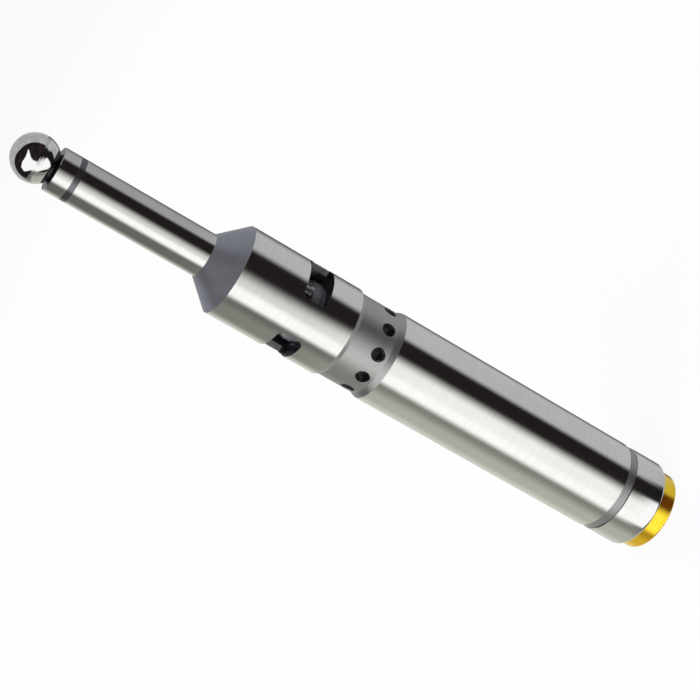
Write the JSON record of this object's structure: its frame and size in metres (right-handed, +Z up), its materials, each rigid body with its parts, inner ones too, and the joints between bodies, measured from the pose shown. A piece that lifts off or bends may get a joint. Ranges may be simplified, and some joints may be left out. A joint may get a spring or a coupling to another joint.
{
  "type": "electronic edge finder",
  "caption": "Straight-shank electronic edge finder with a spring-held probe ball, a windowed light head, sound holes and a screw-off battery cap.",
  "frame": {"origin": "centre of the brass tail face that the tool stands on", "axes": "+Z up the tool's axis towards the ball, +X to the right when seen from the front"},
  "size_m": [0.02, 0.02, 0.16],
  "materials": {
    "polished_steel": "mirror polished hardened steel",
    "ground_steel": "finely ground and polished",
    "spring_steel": "drawn wire",
    "brass": "polished yellow brass",
    "contact_brass": "turned",
    "grey_insulator": "dark grey moulded",
    "white_insulator": "natural white",
    "seal_grey": "matte grey",
    "holder_grey": "matte grey",
    "board_dark": "dark solder mask",
    "lamp_lens": "tinted clear lens",
    "buzzer_black": "black moulded",
    "tinned_wire": "tinned copper",
    "battery_sleeve": "thin fibre tube",
    "battery_can": "plain metal can"
  },
  "bodies": {
    "housing": {"ball_spring": "spring_steel", "seat_ring": "ground_steel", "insulating_ring": "grey_insulator", "stem_liner": "white_insulator", "rod_bush": "white_insulator", "contact_rod": "contact_brass", "head_body": "ground_steel", "led_holder": "holder_grey", "light_board": "board_dark", "driver_board": "board_dark", "buzzer": "buzzer_black", "shank_tube": "ground_steel", "contact_bush": "white_insulator", "contact_stud": "contact_brass", "stud_nut": "contact_brass", "battery": "battery_can", "battery_sleeve": "battery_sleeve", "led_1": "lamp_lens", "led_2": "lamp_lens", "led_3": "lamp_lens", "link_wire_1": "tinned_wire", "link_wire_2": "tinned_wire", "link_wire_3": "tinned_wire"},
    "ball": {"probe_ball": "polished_steel", "ball_hook": "spring_steel"},
    "seal": {"cap_seal": "seal_grey"},
    "cap": {"rear_cap": "ground_steel", "rear_plug": "brass", "rear_spring": "spring_steel"}
  },
  "joints": [
    {"name": "ball_rock", "type": "hinge", "parent": "housing", "child": "ball", "pos_m": [0.003, 0, 0.151], "axis": [0, 1, 0], "range_deg": [0, 30], "stiffness_Nm_per_rad": 0.02, "springref_deg": -28.65, "deforming": ["ball_spring"]},
    {"name": "cap_travel", "type": "slide", "parent": "housing", "child": "seal", "axis": [0, 0, -1], "range_m": [0, 0.007]},
    {"name": "cap_turn", "type": "hinge", "parent": "seal", "child": "cap", "pos_m": [0, 0, 0.0118], "axis": [0, 0, -1], "range_deg": [0, 2520]}
  ],
  "couplings": [
    {"joint": "cap_travel", "follows": "cap_turn", "m_per_rad": 0.00015915}
  ]
}
